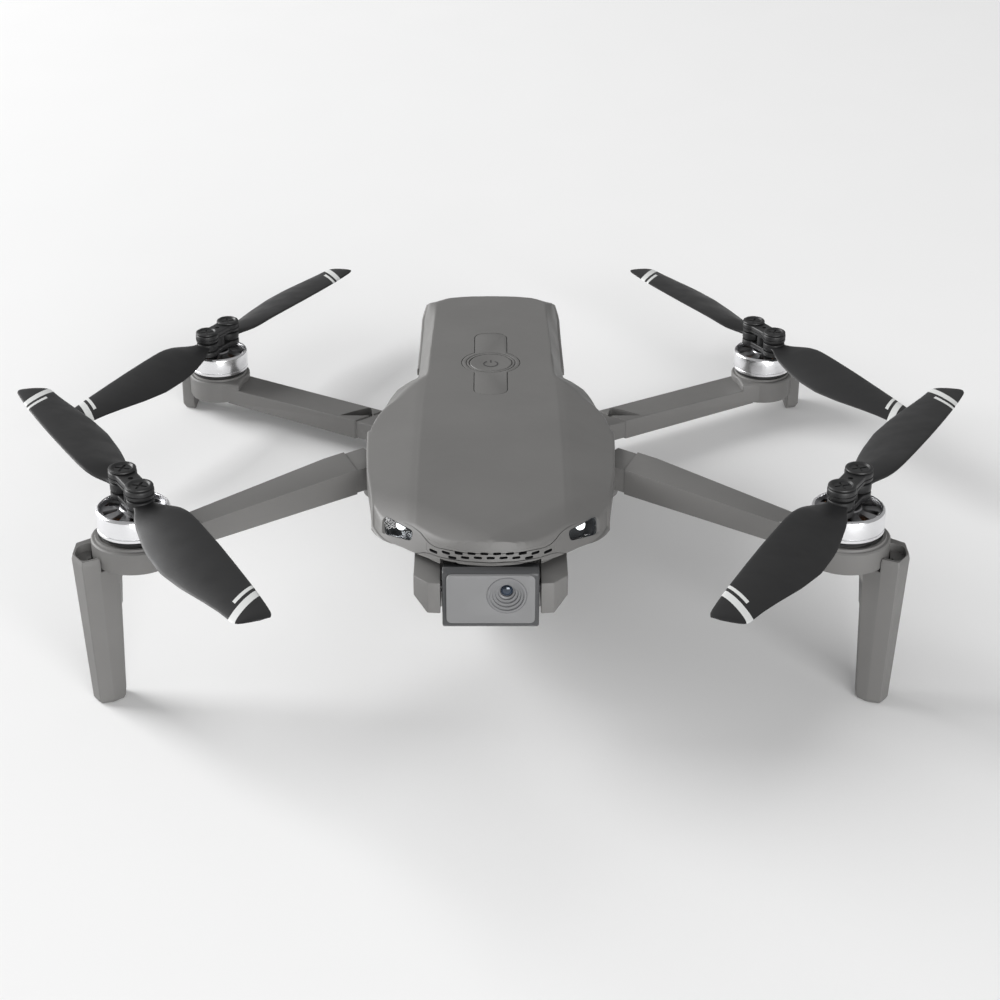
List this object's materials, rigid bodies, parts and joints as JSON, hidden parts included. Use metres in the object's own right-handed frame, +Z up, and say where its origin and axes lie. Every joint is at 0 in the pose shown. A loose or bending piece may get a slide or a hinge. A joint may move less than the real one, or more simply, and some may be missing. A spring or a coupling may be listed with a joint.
{
  "type": "folding quadcopter drone",
  "caption": "Folding camera quadcopter with hinged arms, two-blade folding propellers on outrunner motors, a tilting nose camera and a slide-out battery.",
  "frame": {"origin": "on the ground plane the legs stand on, midway between the four motor axes (also the bottom centre of the unfolded drone's bounding box)", "axes": "+Z up, nose towards -Y, +X the drone's own left"},
  "size_m": [0.2634, 0.3122, 0.0636],
  "materials": {
    "shell": "fine matte moulded grey",
    "trim": "matte moulded grey",
    "blade": "satin black, pale tip stripes",
    "hub": "satin black",
    "camera": "satin dark grey",
    "face": "satin light grey",
    "battery": "matte",
    "board": "solder mask",
    "ceramic": "matte",
    "windings": "lacquered copper",
    "bell": "turned and polished",
    "steel": "plain",
    "lamp_lens": "clear",
    "lens": "coated",
    "lamp": "lit white"
  },
  "bodies": {
    "airframe": {"upper_shell": "shell", "lower_shell": "shell", "nose_trim": "shell", "indicator_plate": "trim", "headlight_lens_left": "lamp_lens", "headlight_lens_right": "lamp_lens", "headlight_led_left": "lamp", "headlight_led_right": "lamp", "battery_connector": "hub", "main_board": "board", "satellite_receiver": "ceramic", "belly_sensor": "hub", "tilt_servo": "hub", "camera_bracket": "shell", "hinge_pin_front_left": "steel", "hinge_pin_front_right": "steel", "hinge_pin_rear_left": "steel", "hinge_pin_rear_right": "steel"},
    "camera": {"tilt_shaft": "steel", "camera_housing": "camera", "camera_face": "face", "lens_barrel": "camera", "lens_glass": "lens"},
    "power_button": {"power_button": "trim"},
    "battery": {"battery_pack": "battery"},
    "arm_front_left": {"arm_front_left": "shell", "motor_stator_front_left": "windings", "front_leg_left": "shell"},
    "prop_front_left": {"motor_bell_front_left": "bell", "prop_hub_front_left": "hub", "blade_screw_front_left_a": "steel", "blade_screw_front_left_b": "steel"},
    "blade_front_left_a": {"blade_front_left_a": "blade"},
    "blade_front_left_b": {"blade_front_left_b": "blade"},
    "arm_front_right": {"arm_front_right": "shell", "motor_stator_front_right": "windings", "front_leg_right": "shell"},
    "prop_front_right": {"motor_bell_front_right": "bell", "prop_hub_front_right": "hub", "blade_screw_front_right_a": "steel", "blade_screw_front_right_b": "steel"},
    "blade_front_right_a": {"blade_front_right_a": "blade"},
    "blade_front_right_b": {"blade_front_right_b": "blade"},
    "arm_rear_left": {"arm_rear_left": "shell", "motor_stator_rear_left": "windings"},
    "prop_rear_left": {"motor_bell_rear_left": "bell", "prop_hub_rear_left": "hub", "blade_screw_rear_left_a": "steel", "blade_screw_rear_left_b": "steel"},
    "blade_rear_left_a": {"blade_rear_left_a": "blade"},
    "blade_rear_left_b": {"blade_rear_left_b": "blade"},
    "arm_rear_right": {"arm_rear_right": "shell", "motor_stator_rear_right": "windings"},
    "prop_rear_right": {"motor_bell_rear_right": "bell", "prop_hub_rear_right": "hub", "blade_screw_rear_right_a": "steel", "blade_screw_rear_right_b": "steel"},
    "blade_rear_right_a": {"blade_rear_right_a": "blade"},
    "blade_rear_right_b": {"blade_rear_right_b": "blade"}
  },
  "joints": [
    {"name": "fold_front_left", "type": "hinge", "parent": "airframe", "child": "arm_front_left", "pos_m": [0.029, -0.046, 0.044], "axis": [0, 0, 1], "range_deg": [0, 115.5]},
    {"name": "spin_front_left", "type": "hinge", "parent": "arm_front_left", "child": "prop_front_left", "pos_m": [0.091, -0.0903, 0.05], "axis": [0, 0, 1], "continuous": true},
    {"name": "swing_front_left_a", "type": "hinge", "parent": "prop_front_left", "child": "blade_front_left_a", "pos_m": [0.09388, -0.08532, 0.05855], "axis": [0, 0, 1], "range_deg": [-95, 95]},
    {"name": "swing_front_left_b", "type": "hinge", "parent": "prop_front_left", "child": "blade_front_left_b", "pos_m": [0.08812, -0.09528, 0.05855], "axis": [0, 0, 1], "range_deg": [-95, 95]},
    {"name": "fold_front_right", "type": "hinge", "parent": "airframe", "child": "arm_front_right", "pos_m": [-0.029, -0.046, 0.044], "axis": [0, 0, -1], "range_deg": [0, 115.5]},
    {"name": "spin_front_right", "type": "hinge", "parent": "arm_front_right", "child": "prop_front_right", "pos_m": [-0.091, -0.0903, 0.05], "axis": [0, 0, -1], "continuous": true},
    {"name": "swing_front_right_a", "type": "hinge", "parent": "prop_front_right", "child": "blade_front_right_a", "pos_m": [-0.08812, -0.09528, 0.05855], "axis": [0, 0, -1], "range_deg": [-95, 95]},
    {"name": "swing_front_right_b", "type": "hinge", "parent": "prop_front_right", "child": "blade_front_right_b", "pos_m": [-0.09388, -0.08532, 0.05855], "axis": [0, 0, -1], "range_deg": [-95, 95]},
    {"name": "fold_rear_left", "type": "hinge", "parent": "airframe", "child": "arm_rear_left", "pos_m": [0.027, 0.05, 0.0096], "axis": [0, 0, -1], "range_deg": [0, 114.2]},
    {"name": "spin_rear_left", "type": "hinge", "parent": "arm_rear_left", "child": "prop_rear_left", "pos_m": [0.091, 0.0903, 0.016], "axis": [0, 0, 1], "continuous": true},
    {"name": "swing_rear_left_a", "type": "hinge", "parent": "prop_rear_left", "child": "blade_rear_left_a", "pos_m": [0.09388, 0.08532, 0.02475], "axis": [0, 0, 1], "range_deg": [0, 97.6]},
    {"name": "swing_rear_left_b", "type": "hinge", "parent": "prop_rear_left", "child": "blade_rear_left_b", "pos_m": [0.08812, 0.09528, 0.02475], "axis": [0, 0, 1], "range_deg": [0, 97.6]},
    {"name": "fold_rear_right", "type": "hinge", "parent": "airframe", "child": "arm_rear_right", "pos_m": [-0.027, 0.05, 0.0096], "axis": [0, 0, 1], "range_deg": [0, 114.2]},
    {"name": "spin_rear_right", "type": "hinge", "parent": "arm_rear_right", "child": "prop_rear_right", "pos_m": [-0.091, 0.0903, 0.016], "axis": [0, 0, -1], "continuous": true},
    {"name": "swing_rear_right_a", "type": "hinge", "parent": "prop_rear_right", "child": "blade_rear_right_a", "pos_m": [-0.08812, 0.09528, 0.02475], "axis": [0, 0, -1], "range_deg": [0, 97.6]},
    {"name": "swing_rear_right_b", "type": "hinge", "parent": "prop_rear_right", "child": "blade_rear_right_b", "pos_m": [-0.09388, 0.08532, 0.02475], "axis": [0, 0, -1], "range_deg": [0, 97.6]},
    {"name": "camera_tilt", "type": "hinge", "parent": "airframe", "child": "camera", "pos_m": [0, -0.1043, 0.0393], "axis": [1, 0, 0], "range_deg": [0, 90]},
    {"name": "power_press", "type": "slide", "parent": "airframe", "child": "power_button", "axis": [0, 0, -1], "range_m": [0, 0.0007]},
    {"name": "battery_slide", "type": "slide", "parent": "airframe", "child": "battery", "axis": [0, 1, 0], "range_m": [0, 0.07]}
  ],
  "couplings": [
    {"joint": "swing_rear_left_a", "follows": "fold_rear_left", "ratio": 0.85},
    {"joint": "swing_rear_left_b", "follows": "fold_rear_left", "ratio": 0.85},
    {"joint": "swing_rear_right_a", "follows": "fold_rear_right", "ratio": 0.85},
    {"joint": "swing_rear_right_b", "follows": "fold_rear_right", "ratio": 0.85}
  ]
}
